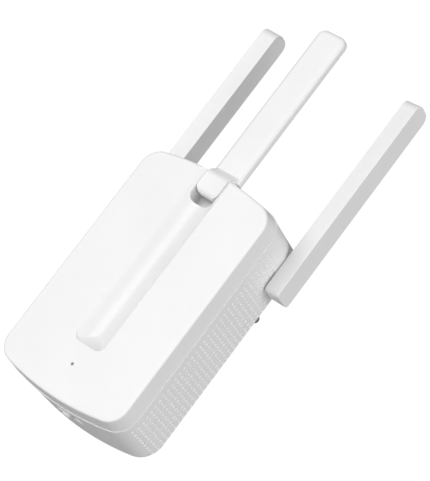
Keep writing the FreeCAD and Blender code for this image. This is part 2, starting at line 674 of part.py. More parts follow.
def input_choke():
    """Bobbin-shaped core on end."""
    x, level = (16.0, 52.0)
    length = 8.0
    flange = 1.2
    start = POWER_BOARD_DEPTH - length
    flanges = [rod(3.8, (x, begin, level), flange, ALONG_Y) for begin in (start, start + length - flange)]
    return joined([rod(2.9, (x, start, level), length, ALONG_Y)] + flanges)


def safety_capacitor():
    """Disc capacitor on edge with two legs."""
    x, level = (16.0, 63.5)
    radius, thickness = (4.2, 2.6)
    disc = rod(radius, (x - thickness / 2, POWER_BOARD_DEPTH - 5.6, level), thickness, ALONG_X)
    disc = disc.makeFillet(thickness / 3, rim_edges(disc, radius))
    legs = [rod(LEG_RADIUS, (x, POWER_BOARD_DEPTH - 3.5, level + side), 3.5, ALONG_Y)
            for side in (-2.4, 2.4)]
    return joined([disc] + legs)


def power_header():
    """Spacer block that joins the two boards."""
    return box((4.0, 12.0), (BOARD_DEPTH + BOARD_THICKNESS, POWER_BOARD_DEPTH), (40.5, 43.0))


def shield_can():
    """Radio shield: a thin box that is open towards the main board."""
    front = BOARD_DEPTH - SHIELD_RISE
    half_width, half_height = SHIELD_HALF_SIZE
    can = box((-half_width, half_width), (front, BOARD_DEPTH),
              (CHIP_HEIGHT - half_height, CHIP_HEIGHT + half_height))
    can = can.makeFillet(0.5, edges_where(can, lambda point: near(point.y, depth(front))))
    inner_width = half_width - SHIELD_SHEET
    inner_height = half_height - SHIELD_SHEET
    return can.cut(box((-inner_width, inner_width), (front + SHIELD_SHEET, BOARD_DEPTH + CLEAR),
                       (CHIP_HEIGHT - inner_height, CHIP_HEIGHT + inner_height)))


def radio_chip():
    return centred_box((0, BOARD_DEPTH - CHIP_RISE / 2, CHIP_HEIGHT), (9.0, CHIP_RISE, 9.0))


def heat_pad():
    thickness = SHIELD_RISE - SHIELD_SHEET - CHIP_RISE
    middle = BOARD_DEPTH - CHIP_RISE - thickness / 2
    return centred_box((0, middle, CHIP_HEIGHT), (10.0, thickness, 10.0))


def memory_chip():
    rise = 1.2
    return centred_box((-8.0, BOARD_DEPTH - rise / 2, 38.0), (6.0, rise, 5.0))


def status_light():
    return centred_box((0, BOARD_DEPTH - LED_RISE / 2, LIGHT_HEIGHT), (1.6, LED_RISE, 0.8))


def light_pipe():
    """Clear rod that brings the light to the front face, thicker behind the cover."""
    step = WALL + 0.2
    thin = rod(LIGHT_RADIUS - 0.05, (0, 0.1, LIGHT_HEIGHT), step, ALONG_Y)
    thick = rod(LIGHT_PIPE_RADIUS, (0, step, LIGHT_HEIGHT), BOARD_DEPTH - LED_RISE - 0.1 - step, ALONG_Y)
    return joined([thin, thick])


def antenna_sockets():
    """Three small round coaxial sockets along the main board's top edge."""
    back = BOARD_DEPTH + BOARD_THICKNESS
    base = 0.6
    return group([joined([centred_box((x, back + base / 2, SOCKET_HEIGHT), (3.0, base, 3.0)),
                          rod(1.0, (x, back + base / 2, SOCKET_HEIGHT), SOCKET_RISE - base / 2, ALONG_Y)])
                  for x in (-SOCKET_X, 0.0, SOCKET_X)])


def lead(points):
    """Round cable along straight runs joined by tangent arcs."""
    path = [Vector(x, depth(d), height(h)) for x, d, h in points]
    pieces = []
    start = path[0]
    for previous, corner, following in zip(path, path[1:], path[2:]):
        before = previous - corner
        after = following - corner
        reach = LEAD_BEND_SHARE * min(before.Length, after.Length)
        bend = reach * math.tan(before.getAngle(after) / 2)
        first, middle, last = corner_turn(previous, corner, following, bend)
        pieces.append(Part.makeLine(start, first))
        pieces.append(Part.Arc(first, middle, last).toShape())
        start = last
    pieces.append(Part.makeLine(start, path[-1]))
    ring = Part.Wire(Part.makeCircle(LEAD_RADIUS, path[0], path[1] - path[0]))
    return Part.Wire(pieces).makePipeShell([ring], True, True)


def side_lead():
    """Coaxial lead from the right-hand barrel to its socket on the main board."""
    socket_top = BOARD_DEPTH + BOARD_THICKNESS + SOCKET_RISE
    return lead([(BARREL_END - 0.2, SIDE_HINGE_DEPTH, SIDE_HINGE_HEIGHT),
                 (20.6, SIDE_HINGE_DEPTH, SIDE_HINGE_HEIGHT), (SOCKET_X, 25.5, 88.5),
                 (SOCKET_X, 22.0, SOCKET_HEIGHT), (SOCKET_X, socket_top, SOCKET_HEIGHT)])


def middle_lead():
    """Coaxial lead from the socket at the board's middle up behind the hinge pocket."""
    socket_top = BOARD_DEPTH + BOARD_THICKNESS + SOCKET_RISE
    return lead([(0.0, socket_top, SOCKET_HEIGHT), (0.0, 21.0, SOCKET_HEIGHT), (0.0, 22.0, 90.0),
                 (0.0, 17.0, 95.0), (0.0, NOTCH_BACK + NOTCH_WALL + 0.3, 96.0)])


# ---- button and switch -----------------------------------------------------------------------
def switch_body():
    """Switch on the back of the main board, open below for its plunger."""
    body = box((-3.6, 3.6), (BOARD_DEPTH + BOARD_THICKNESS, BUTTON_DEPTH + 2.4), (SWITCH_LOW, SWITCH_HIGH))
    return body.cut(rod(PLUNGER_RADIUS + 0.15, (0, BUTTON_DEPTH, SWITCH_LOW - CLEAR), 3.2, ALONG_Z))


def switch_plunger():
    return rod(PLUNGER_RADIUS, (0, BUTTON_DEPTH, PLUNGER_LOW), 3.2, ALONG_Z)


def push_button():
    low = bottom_at(BUTTON_DEPTH) - BUTTON_PROUD
    stem = button_bar(0, low, PLUNGER_LOW - 0.05)
    stem = stem.makeFillet(0.4, edges_where(stem, lambda point: near(point.z, height(low))))
    flange_low = bottom_at(BUTTON_DEPTH) + WALL + 0.35
    flange = button_bar(1.0, flange_low, flange_low + 1.0)
    return joined([stem, flange])


# ---- fasteners -------------------------------------------------------------------------------
def screw(size, place, way):
    """Pan-head screw with a cross recess; its head sits on the place and its shank points the way."""
    head_radius, shank_radius, head_length, shank_length = size
    x, distance, level = place
    seat = Vector(x, depth(distance), height(level))
    head = Part.makeCylinder(head_radius, head_length, seat, ALONG_Y * -way)
    overlap = 0.2
    shank = Part.makeCylinder(shank_radius, shank_length + overlap, seat - ALONG_Y * way * overlap,
                              ALONG_Y * way)
    recess_middle = distance - way * (head_length - RECESS_CUT / 2)
    long_side = head_radius * 1.2
    short_side = head_radius * 0.3
    recess = [centred_box((x, recess_middle, level), (across, RECESS_CUT, upright))
              for across, upright in ((long_side, short_side), (short_side, long_side))]
    return without(joined([head, shank]), recess)


def housing_screws():
    return group([screw(HOUSING_SCREW, (x, SCREW_SEAT_DEPTH, z), -1) for x, z in SCREW_PLACES])


def board_screws():
    back = BOARD_DEPTH + BOARD_THICKNESS
    return group([screw(BOARD_SCREW, (x, back, z), -1) for x, z in BOARD_SCREW_PLACES])


def power_board_screws():
    return group([screw(POWER_BOARD_SCREW, (x, POWER_BOARD_DEPTH, z), 1) for x, z in POWER_SCREW_PLACES])


# ---- side antennas, drawn on the right and mirrored for the left ------------------------------
def side_antenna_bar(inset, x_span, spread):
    """Bar with squared lower corners and a rounded tip, shrunk by an inset in depth and height.

    The spread is how much further its front and back stand out at the outer side than at the inner.
    """
    low = SIDE_ANTENNA_BOTTOM + inset
    high = SIDE_ANTENNA_TOP - inset
    foot = FOOT_CORNER - inset
    tip = TIP_CORNER - inset
    sections = []
    for x in x_span:
        share = (x - SIDE_ANTENNA_INNER) / (SIDE_ANTENNA_OUTER - SIDE_ANTENNA_INNER)
        half_depth = SIDE_ANTENNA_DEPTH / 2 + spread * share - inset
        front = SIDE_HINGE_DEPTH - half_depth
        back = SIDE_HINGE_DEPTH + half_depth
        corners = [Vector(x, depth(d), height(h))
                   for d, h in ((front, low), (back, low), (back, high), (front, high))]
        sections.append(rounded_profile(corners, (foot, foot, tip, tip)))
    return Part.makeLoft(sections, True, True)


def side_antenna_shell():
    """Outer half: front, back, outer side and tip in one piece, open towards the housing."""
    form = side_antenna_bar(0, (SIDE_ANTENNA_INNER, SIDE_ANTENNA_OUTER), SIDE_ANTENNA_SPREAD)
    outer_rim = edges_where(form, lambda point: near(point.x, SIDE_ANTENNA_OUTER))
    form = form.makeFillet(SIDE_ANTENNA_EDGE, outer_rim)
    opening_start = SIDE_ANTENNA_INNER - CLEAR
    hollow = side_antenna_bar(ANTENNA_WALL, (opening_start, SIDE_ANTENNA_OUTER - ANTENNA_WALL), 0)
    opening = side_antenna_bar(COVER_LEDGE, (opening_start, SIDE_ANTENNA_INNER + ANTENNA_WALL), 0)
    return without(form, [hollow, opening])


def side_antenna_cover():
    """Inner half that closes the shell and carries the hollow hinge barrel."""
    play = 0.05
    panel_end = SIDE_ANTENNA_INNER + ANTENNA_WALL - play
    panel = side_antenna_bar(COVER_LEDGE + play, (SIDE_ANTENNA_INNER, panel_end), 0)
    barrel = rod(SIDE_BARREL_RADIUS, (BARREL_END, SIDE_HINGE_DEPTH, SIDE_HINGE_HEIGHT),
                 SIDE_ANTENNA_INNER + 0.8 - BARREL_END, ALONG_X)
    groove = tube(SIDE_BARREL_RADIUS + CLEAR, CLIP_SEAT_RADIUS,
                  (BARREL_END + CLIP_OFFSET, SIDE_HINGE_DEPTH, SIDE_HINGE_HEIGHT), CLIP_GROOVE, ALONG_X)
    bore = rod(BARREL_BORE_RADIUS, (BARREL_END - CLEAR, SIDE_HINGE_DEPTH, SIDE_HINGE_HEIGHT), 20.0, ALONG_X)
    return without(joined([panel, barrel]), [groove, bore])


def hinge_clip():
    """Steel C-clip in the barrel's groove, inside the housing."""
    start = BARREL_END + CLIP_OFFSET + 0.05
    ring = tube(CLIP_RADIUS, CLIP_SEAT_RADIUS + 0.05, (start, SIDE_HINGE_DEPTH, SIDE_HINGE_HEIGHT),
                CLIP_GROOVE - 0.1, ALONG_X)
    gap = box((BARREL_END, BARREL_END + 3.0), (SIDE_HINGE_DEPTH - CLIP_GAP, SIDE_HINGE_DEPTH + CLIP_GAP),
              (SIDE_HINGE_HEIGHT - CLIP_RADIUS - CLEAR, SIDE_HINGE_HEIGHT))
    return ring.cut(gap)


def friction_washer():
    """Washer between the clip and the housing's inner pad that holds the antenna where it is put."""
    start = BARREL_END + CLIP_OFFSET + CLIP_GROOVE + 0.05
    return tube(WASHER_RADIUS, SIDE_BARREL_RADIUS + 0.2, (start, SIDE_HINGE_DEPTH, SIDE_HINGE_HEIGHT),
                WASHER_THICKNESS, ALONG_X)


def side_radiator():
    """Thin circuit strip in the antenna's hollow."""
    middle = (SIDE_ANTENNA_INNER + SIDE_ANTENNA_OUTER) / 2 + 1.1
    half_width = 3.0
    return box((middle - STRIP_THICKNESS / 2, middle + STRIP_THICKNESS / 2),
               (SIDE_HINGE_DEPTH - half_width, SIDE_HINGE_DEPTH + half_width), (104.0, 171.0))


def side_coax():
    """Cable from the radiator down to the hinge and in through the barrel."""
    x = (SIDE_ANTENNA_INNER + SIDE_ANTENNA_OUTER) / 2
    return lead([(x, SIDE_HINGE_DEPTH, 106.0), (x, SIDE_HINGE_DEPTH, SIDE_HINGE_HEIGHT),
                 (BARREL_END + 0.2, SIDE_HINGE_DEPTH, SIDE_HINGE_HEIGHT)])


# ---- middle antenna --------------------------------------------------------------------------
def blade_form():
    """Flat blade with a square lower end, a rounded tip and soft edges."""
    outline = rectangle(MIDDLE_BLADE_HALF_WIDTH, MIDDLE_BLADE_LOW, MIDDLE_BLADE_TOP)
    blade = front_plate(outline, (0, 0, BLADE_TIP_CORNER, BLADE_TIP_CORNER),
                        (MIDDLE_BLADE_FRONT, MIDDLE_BLADE_BACK))
    rims = [edge for edge in blade.Edges
            if not near(edge.BoundBox.YLength, MIDDLE_BLADE_BACK - MIDDLE_BLADE_FRONT)
            and not near(edge.CenterOfMass.z, height(MIDDLE_BLADE_LOW))]
    return blade.makeFillet(BLADE_EDGE, rims)


def blade_hollow(front, back):
    """The room for the radiator strip, between two depths."""
    outline = rectangle(MIDDLE_BLADE_HALF_WIDTH - BLADE_WALL, MIDDLE_BLADE_LOW + BLADE_HOLLOW_START,
                        MIDDLE_BLADE_TOP - BLADE_WALL)
    return front_plate(outline, (0.5, 0.5, 2.0, 2.0), (front, back))


def knuckle():
    """Hinge block below the blade, flat in front, round underneath and round at its lower corners."""
    front = MIDDLE_HINGE_DEPTH - KNUCKLE_FRONT
    low = MIDDLE_HINGE_HEIGHT - KNUCKLE_DROP
    neck_back = MIDDLE_BLADE_BACK - 1.4
    neck_front = MIDDLE_BLADE_FRONT + 0.1
    outline = [(front, low), (front + 5.4, low), (front + 6.8, MIDDLE_HINGE_HEIGHT + 4.5),
               (neck_back, MIDDLE_BLADE_LOW + 1.0), (neck_back, MIDDLE_BLADE_LOW + 4.0),
               (neck_front, MIDDLE_BLADE_LOW + 4.0), (neck_front, MIDDLE_BLADE_LOW + 1.8),
               (front, MIDDLE_HINGE_HEIGHT + 4.2)]
    radii = (2.6, 2.6, 0, 0, 0, 0, 1.5, 3.0)
    block = side_plate(outline, radii, (-KNUCKLE_HALF_WIDTH, KNUCKLE_HALF_WIDTH))
    face = front_plate(rectangle(KNUCKLE_HALF_WIDTH, low, MIDDLE_BLADE_TOP),
                       (KNUCKLE_CORNER, KNUCKLE_CORNER, 0, 0), (0, BODY_DEPTH))
    bore = rod(HINGE_PIN_RADIUS + HINGE_PIN_PLAY,
               (-NOTCH_HALF_WIDTH, MIDDLE_HINGE_DEPTH, MIDDLE_HINGE_HEIGHT), 2 * NOTCH_HALF_WIDTH, ALONG_X)
    return block.common(face).cut(bore)


def middle_split():
    """Depth of the parting plane between the blade's front and back halves."""
    return (MIDDLE_BLADE_FRONT + MIDDLE_BLADE_BACK) / 2 + 0.6


def blade_half(front, back):
    """The blade's material between two depths."""
    reach = MIDDLE_BLADE_HALF_WIDTH + CLEAR
    return blade_form().common(box((-reach, reach), (front, back), (0, MIDDLE_BLADE_TOP + CLEAR)))


def middle_antenna_front():
    hollow = blade_hollow(MIDDLE_BLADE_FRONT + ANTENNA_WALL, MIDDLE_BLADE_BACK)
    return joined([blade_half(0, middle_split()).cut(hollow), knuckle()])


def middle_antenna_back():
    hollow = blade_hollow(0, MIDDLE_BLADE_BACK - BLADE_BACK_WALL)
    return without(blade_half(middle_split(), BODY_DEPTH), [hollow, knuckle()])


def middle_radiator():
    """Thin circuit strip in the blade's hollow."""
    centre = (MIDDLE_BLADE_FRONT + MIDDLE_BLADE_BACK) / 2
    half_width = 4.0
    return box((-half_width, half_width), (centre - STRIP_THICKNESS / 2, centre + STRIP_THICKNESS / 2),
               (116.0, 176.0))


def middle_hinge_pin():
    reach = NOTCH_HALF_WIDTH + HINGE_PIN_SEAT - 0.05
    return rod(HINGE_PIN_RADIUS, (-reach, MIDDLE_HINGE_DEPTH, MIDDLE_HINGE_HEIGHT), 2 * reach, ALONG_X)


# ---- the assembly ----------------------------------------------------------------------------
CENTRE_NODES = {
    "front_cover": front_cover,
    "rear_housing": rear_housing,
    "plug_boss": plug_boss,
    "main_board": main_board,
    "power_board": power_board,
    "transformer_core": transformer_core,
    "transformer_coil": transformer_coil,
    "input_capacitor": input_capacitor,
    "output_capacitor": output_capacitor,
    "fuse_resistor": fuse_resistor,
    "bridge_rectifier": bridge_rectifier,
    "input_choke": input_choke,
    "safety_capacitor": safety_capacitor,
    "power_header": power_header,
    "shield_can": shield_can,
    "radio_chip": radio_chip,
    "heat_pad": heat_pad,
    "memory_chip": memory_chip,
    "status_light": status_light,
    "light_pipe": light_pipe,
    "antenna_sockets": antenna_sockets,
    "middle_lead": middle_lead,
    "switch_body": switch_body,
    "switch_plunger": switch_plunger,
    "push_button": push_button,
    "housing_screws": housing_screws,
    "board_screws": board_screws,
    "power_board_screws": power_board_screws,
    "middle_antenna_front": middle_antenna_front,
    "middle_antenna_back": middle_antenna_back,
    "middle_radiator": middle_radiator,
    "middle_hinge_pin": middle_hinge_pin,
}
HANDED_NODES = {
    "plug_pin": plug_pin,
    "pin_sleeve": pin_sleeve,
    "pin_contact": pin_contact,
    "hinge_lead": side_lead,
    "hinge_washer": friction_washer,
    "hinge_clip": hinge_clip,
    "antenna_shell": side_antenna_shell,
    "antenna_cover": side_antenna_cover,
    "antenna_radiator": side_radiator,
    "antenna_coax": side_coax,
}


def assembly():
    """Every piece by name, with the handed ones on both sides."""
    pieces = {name: make() for name, make in CENTRE_NODES.items()}
    for name, make in HANDED_NODES.items():
        shape = make()
        pieces["right_" + name] = shape
        pieces["left_" + name] = mirrored(shape)
    return pieces


os.makedirs("parts", exist_ok=True)
for node, solid in assembly().items():
    solid.exportStep("parts/" + node + ".step")
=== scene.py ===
import json
import math

import bmesh
import bpy
from mathutils import Matrix, Vector
from mathutils.bvhtree import BVHTree


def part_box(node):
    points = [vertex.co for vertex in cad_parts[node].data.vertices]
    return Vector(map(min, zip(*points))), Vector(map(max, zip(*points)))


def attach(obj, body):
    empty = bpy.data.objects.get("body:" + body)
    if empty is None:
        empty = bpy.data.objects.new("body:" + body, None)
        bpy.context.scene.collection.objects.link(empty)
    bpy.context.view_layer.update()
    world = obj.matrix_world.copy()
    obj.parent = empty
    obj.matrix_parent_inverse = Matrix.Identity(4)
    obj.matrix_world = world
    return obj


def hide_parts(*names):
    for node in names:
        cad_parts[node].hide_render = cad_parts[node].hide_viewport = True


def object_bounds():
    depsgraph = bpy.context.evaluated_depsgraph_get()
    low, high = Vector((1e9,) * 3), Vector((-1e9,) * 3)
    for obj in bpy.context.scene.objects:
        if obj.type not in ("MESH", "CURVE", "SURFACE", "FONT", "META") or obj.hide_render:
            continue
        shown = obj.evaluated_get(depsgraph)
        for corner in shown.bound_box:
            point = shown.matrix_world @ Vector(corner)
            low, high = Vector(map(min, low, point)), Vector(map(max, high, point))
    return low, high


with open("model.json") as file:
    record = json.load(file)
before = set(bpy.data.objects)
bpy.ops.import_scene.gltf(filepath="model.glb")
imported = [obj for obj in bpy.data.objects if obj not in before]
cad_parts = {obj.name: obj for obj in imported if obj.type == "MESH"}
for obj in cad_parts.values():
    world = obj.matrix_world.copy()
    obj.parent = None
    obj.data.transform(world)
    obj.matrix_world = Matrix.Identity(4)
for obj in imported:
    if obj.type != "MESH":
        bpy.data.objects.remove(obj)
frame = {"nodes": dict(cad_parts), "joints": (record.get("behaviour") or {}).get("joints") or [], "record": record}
cad_nodes = frame["nodes"]
cad_low, cad_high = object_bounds()

MM = 0.001

# Camera: where it stands in the object's frame, the way it looks (degrees) and its lens
CAMERA_PLACE = (0.4682, -0.7562, -0.1505)
CAMERA_AZIMUTH = 32.73
CAMERA_ELEVATION = -10.49
CAMERA_ROLL = -37.07
CAMERA_LENS = 166.6
CAMERA_NEAR = 0.05
CAMERA_FAR = 20

# Light: each soft box is an azimuth, an elevation (degrees), a distance, a size (metres) and a power
KEY_LIGHT = (-16, 0, 2.6, 1.8, 40)
SIDE_LIGHT = (72, 8, 1.6, 1.2, 12.5)
WORLD_SEEN = 1.05                   # strength of the surroundings as the camera sees them
WORLD_CAST = 0.24                   # strength of the light they cast on the object

FLOOR_HALF_WIDTH = 12.0
FLOOR_DROP = 1.2                    # below the object's lowest point

# Dimples in the housing's side walls
DIMPLE_COLUMNS = 9
DIMPLE_ROWS = 34
DIMPLE_COLUMN_PITCH = 2.63 * MM
DIMPLE_ROW_PITCH = 2.58 * MM
DIMPLE_RADIUS = 0.84 * MM
DIMPLE_DEPTH = 0.55 * MM
DIMPLE_FIRST_DEPTH = 13.7 * MM      # from the cover's front
DIMPLE_LOWEST = -73.0 * MM          # level of the lowest row
HINGE_CLEAR_RADIUS = 5.6 * MM       # smooth disc round each side hinge
DIMPLE_FACE_DEPTH = 0.02 * MM       # faces deeper than this belong to a dimple
DIMPLE_SEGMENTS = 14
DIMPLE_RINGS = 4
CUTTER_FLARE = 1.12                 # outer end of a dimple's cutter, as a share of the dimple's radius
CUTTER_LEAD = 0.2 * MM              # how far a cutter starts outside the wall
WALL_PROBE = 1.0                    # how far outside the object the search for a wall starts
MERGE_DISTANCE = 0.5e-6             # corners closer than this are one corner
CORNER_INSET = 0.02                 # share of the way from a corner to its face's middle

SHELL_LIGHT = (0.945, 0.945, 0.95, 1)
SHELL_DARK = (0.925, 0.925, 0.93, 1)
BLACK = (0, 0, 0, 1)
WHITE = (1, 1, 1, 1)
MASK_LIGHT = (0.012, 0.11, 0.045, 1)
MASK_DARK = (0.008, 0.085, 0.035, 1)
MASK_OVER_TRACE = (0.02, 0.17, 0.07, 1)
TINNED_PAD = (0.72, 0.66, 0.5, 1)

# Sizes of the patterns in the materials, in metres
PLASTIC_CLOUD = 0.022
PLASTIC_GLOSS_PATCH = 0.004
METAL_STREAK = 0.004
METAL_STREAK_THINNING = 14.0        # how much finer a streak is across than along
METAL_STREAK_DEPTH = 0.00001
BOARD_WEAVE = 0.0006
BOARD_TRACES_PER_METRE = 420
BOARD_PADS_PER_METRE = 330
BOARD_TRACE_DEPTH = 0.00003
CLEAR_CLOUD = 0.002
CLEAR_GLOSS_PATCH = 0.0008
CLEAR_INDEX = 1.49
BANDED_GLOSS_PATCH = 0.001
BANDED_GRAIN = 0.0005
BANDED_GRAIN_DEPTH = 0.00002
FLOOR_CLOUD = 0.3
FLOOR_GLOSS_PATCH = 0.1


# ---- materials --------------------------------------------------------------------------------
class Graph:
    """A material's node tree, with short calls to add and link nodes."""

    def __init__(self, name):
        self.material = bpy.data.materials.new(name)
        self.material.use_nodes = True
        self.tree = self.material.node_tree
        self.shader = self.tree.nodes["Principled BSDF"]
        self.place = self.add("ShaderNodeTexCoord").outputs["Object"]

    def add(self, kind, **values):
        node = self.tree.nodes.new(kind)
        for key, value in values.items():
            setattr(node, key, value)
        return node

    def link(self, start, end):
        self.tree.links.new(start, end)

    def fixed(self, **values):
        for key, value in values.items():
            self.shader.inputs[key.replace("_", " ")].default_value = value

    def stretched(self, factors):
        mapping = self.add("ShaderNodeMapping")
        mapping.inputs["Scale"].default_value = factors
        self.link(self.place, mapping.inputs["Vector"])
        return mapping.outputs["Vector"]

    def noise(self, size, detail=3.0, roughness=0.5, place=None):
        """Noise whose blotches are about size metres across."""
        node = self.add("ShaderNodeTexNoise")
        node.inputs["Scale"].default_value = 1 / size
        node.inputs["Detail"].default_value = detail
        node.inputs["Roughness"].default_value = roughness
        self.link(place or self.place, node.inputs["Vector"])
        return node.outputs["Fac"]

    def ramp(self, source, stops):
        node = self.add("ShaderNodeValToRGB")
        elements = node.color_ramp.elements
        while len(elements) < len(stops):
            elements.new(0.5)
        for element, (position, colour) in zip(elements, stops):
            element.position = position
            element.color = colour
        self.link(source, node.inputs["Fac"])
        return node.outputs["Color"]

    def between(self, source, low, high, start=0.3, end=0.7):
        node = self.add("ShaderNodeMapRange")
        node.inputs["From Min"].default_value = start
        node.inputs["From Max"].default_value = end
        node.inputs["To Min"].default_value = low
        node.inputs["To Max"].default_value = high
        self.link(source, node.inputs["Value"])
        return node.outputs["Result"]

    def mix(self, source, first, second):
        node = self.add("ShaderNodeMix", data_type="RGBA")
        self.link(source, node.inputs["Factor"])
        for socket, value in ((node.inputs["A"], first), (node.inputs["B"], second)):
            if isinstance(value, tuple):
                socket.default_value = value
            else:
                self.link(value, socket)
        return node.outputs["Result"]

    def colour(self, output):
        self.link(output, self.shader.inputs["Base Color"])

    def rough(self, output):
        self.link(output, self.shader.inputs["Roughness"])

    def bump(self, output, depth, strength=1.0):
        node = self.add("ShaderNodeBump")
        node.inputs["Distance"].default_value = depth
        node.inputs["Strength"].default_value = strength
        self.link(output, node.inputs["Height"])
        self.link(node.outputs["Normal"], self.shader.inputs["Normal"])


def moulded_plastic(name, light, dark, roughness, grain_size, grain_depth):
    """Moulded plastic: faint cloudy colour, uneven gloss and the fine grain of a tool's surface."""
    g = Graph(name)
    g.colour(g.ramp(g.noise(PLASTIC_CLOUD, 4), [(0.35, dark), (0.65, light)]))
    g.rough(g.between(g.noise(PLASTIC_GLOSS_PATCH, 5), roughness - 0.035, roughness + 0.035))
    g.bump(g.noise(grain_size, 2), grain_depth, 0.6)
    return g.material


def drawn_metal(name, light, dark, roughness, along):
    """Drawn or turned metal with fine streaks along one axis."""
    g = Graph(name)
    factors = tuple(1.0 if axis == along else METAL_STREAK_THINNING for axis in "XYZ")
    streaks = g.noise(METAL_STREAK, 6, 0.65, g.stretched(factors))
    g.colour(g.ramp(streaks, [(0.3, dark), (0.7, light)]))
    g.rough(g.between(streaks, roughness - 0.06, roughness + 0.08))
    g.bump(streaks, METAL_STREAK_DEPTH, 0.4)
    g.fixed(Metallic=1.0)
    return g.material


def circuit_board(name):
    """Solder-masked laminate: traces under the mask, and tinned pads."""
    g = Graph(name)
    weave = g.noise(BOARD_WEAVE, 2)
    mask = g.ramp(weave, [(0.3, MASK_DARK), (0.7, MASK_LIGHT)])
    traces = g.add("ShaderNodeTexVoronoi", distance="MANHATTAN", feature="F1")
    traces.inputs["Scale"].default_value = BOARD_TRACES_PER_METRE
    g.link(g.place, traces.inputs["Vector"])
    lines = g.ramp(traces.outputs["Distance"], [(0.44, BLACK), (0.5, WHITE)])
    traced = g.mix(lines, mask, MASK_OVER_TRACE)
    pads = g.add("ShaderNodeTexVoronoi", feature="F1")
    pads.inputs["Scale"].default_value = BOARD_PADS_PER_METRE
    pads.inputs["Randomness"].default_value = 0.35
    g.link(g.place, pads.inputs["Vector"])
    dots = g.ramp(pads.outputs["Distance"], [(0.13, WHITE), (0.16, BLACK)])
    g.colour(g.mix(dots, traced, TINNED_PAD))
    g.rough(g.between(weave, 0.28, 0.4))
    g.bump(lines, BOARD_TRACE_DEPTH, 0.5)
    return g.material


def clear_plastic(name, light, dark):
    """Smooth tinted plastic of a light pipe."""
    g = Graph(name)
    g.colour(g.ramp(g.noise(CLEAR_CLOUD), [(0.3, dark), (0.7, light)]))
    g.rough(g.between(g.noise(CLEAR_GLOSS_PATCH), 0.08, 0.16))
    g.fixed(IOR=CLEAR_INDEX)
    return g.material


def banded(name, body, bands, size, roughness):
    """Coated component with rings of colour round it."""
    g = Graph(name)
    wave = g.add("ShaderNodeTexWave", wave_type="BANDS", bands_direction="Z")
    wave.inputs["Scale"].default_value = 1 / size
    wave.inputs["Distortion"].default_value = 0.4
    g.link(g.place, wave.inputs["Vector"])
    g.colour(g.ramp(wave.outputs["Fac"], [(0.55, body), (0.62, bands)]))
    g.rough(g.between(g.noise(BANDED_GLOSS_PATCH), roughness - 0.05, roughness + 0.05))
    g.bump(g.noise(BANDED_GRAIN), BANDED_GRAIN_DEPTH, 0.5)
    return g.material


def grey(value, tint=0.0):
    """Grey whose blue is raised by the share that tint says."""
    return (value, value, value * (1 + tint), 1)


materials = {
    "white_shell": moulded_plastic("white_shell_look", SHELL_LIGHT, SHELL_DARK, 0.36, 0.00035, 0.000006),
    "white_inner": moulded_plastic("white_inner_look", SHELL_LIGHT, SHELL_DARK, 0.4, 0.0003, 0.000008),
    "black_sleeve": moulded_plastic("black_sleeve_look", grey(0.03), grey(0.018), 0.42, 0.0003, 0.00001),
    "plated_pin": drawn_metal("plated_pin_look", (0.72, 0.7, 0.66, 1), (0.6, 0.58, 0.54, 1), 0.2, "Y"),
    "contact_brass": drawn_metal("contact_brass_look", (0.8, 0.62, 0.3, 1), (0.66, 0.49, 0.2, 1), 0.28, "Y"),
    "board_green": circuit_board("board_green_look"),
    "ferrite": moulded_plastic("ferrite_look", grey(0.1, 0.05), grey(0.06), 0.62, 0.0004, 0.00003),
    "coil_tape": banded("coil_tape_look", (0.78, 0.56, 0.05, 1), (0.66, 0.46, 0.03, 1), 0.003, 0.32),
    "capacitor_sleeve": banded("capacitor_sleeve_look", (0.02, 0.03, 0.09, 1), (0.45, 0.46, 0.5, 1),
                               0.012, 0.3),
    "resistor_coat": banded("resistor_coat_look", (0.1, 0.27, 0.2, 1), (0.5, 0.2, 0.05, 1), 0.0035, 0.55),
    "package_black": moulded_plastic("package_black_look", grey(0.04), grey(0.025), 0.55, 0.0002, 0.00002),
    "disc_coat": moulded_plastic("disc_coat_look", (0.06, 0.2, 0.5, 1), (0.04, 0.15, 0.42, 1), 0.35,
                                 0.0006, 0.00004),
    "header_black": moulded_plastic("header_black_look", grey(0.045), grey(0.03), 0.45, 0.0002, 0.00001),
    "tin_plate": drawn_metal("tin_plate_look", grey(0.8), grey(0.66), 0.3, "X"),
    "thermal_rubber": moulded_plastic("thermal_rubber_look", (0.36, 0.46, 0.55, 1), (0.3, 0.4, 0.48, 1), 0.8,
                                      0.0004, 0.00003),
    "light_body": moulded_plastic("light_body_look", (0.9, 0.9, 0.78, 1), (0.82, 0.82, 0.66, 1), 0.15,
                                  0.0004, 0.000004),
    "clear_pipe": clear_plastic("clear_pipe_look", (0.2, 0.2, 0.21, 1), (0.13, 0.135, 0.14, 1)),
    "coax_jacket": moulded_plastic("coax_jacket_look", grey(0.06), grey(0.035), 0.45, 0.0004, 0.00001),
    "spring_steel": drawn_metal("spring_steel_look", grey(0.62), grey(0.48), 0.3, "X"),
    "screw_zinc": drawn_metal("screw_zinc_look", (0.66, 0.66, 0.62, 1), (0.5, 0.5, 0.47, 1), 0.34, "Y"),
}


def dress(piece, slot_name):
    piece.data.materials.clear()
    piece.data.materials.append(materials[slot_name])


slot_of = {part["node"]: part["material_slot"] for part in frame["record"]["subparts"]}
for node_name, slot_name in slot_of.items():
    dress(cad_nodes[node_name], slot_name)


# ---- the housing, with dimples pressed into its side walls ---------------------------------------
def dimple_profile():
    """(radius, depth) pairs of a shallow bowl with a rounded rim, from outside to its middle."""
    pairs = [(DIMPLE_RADIUS * CUTTER_FLARE, -CUTTER_LEAD)]
    for ring in range(DIMPLE_RINGS + 1):
        angle = math.pi / 2 * ring / DIMPLE_RINGS
        pairs.append((DIMPLE_RADIUS * math.cos(angle), DIMPLE_DEPTH * math.sin(angle)))
    return pairs


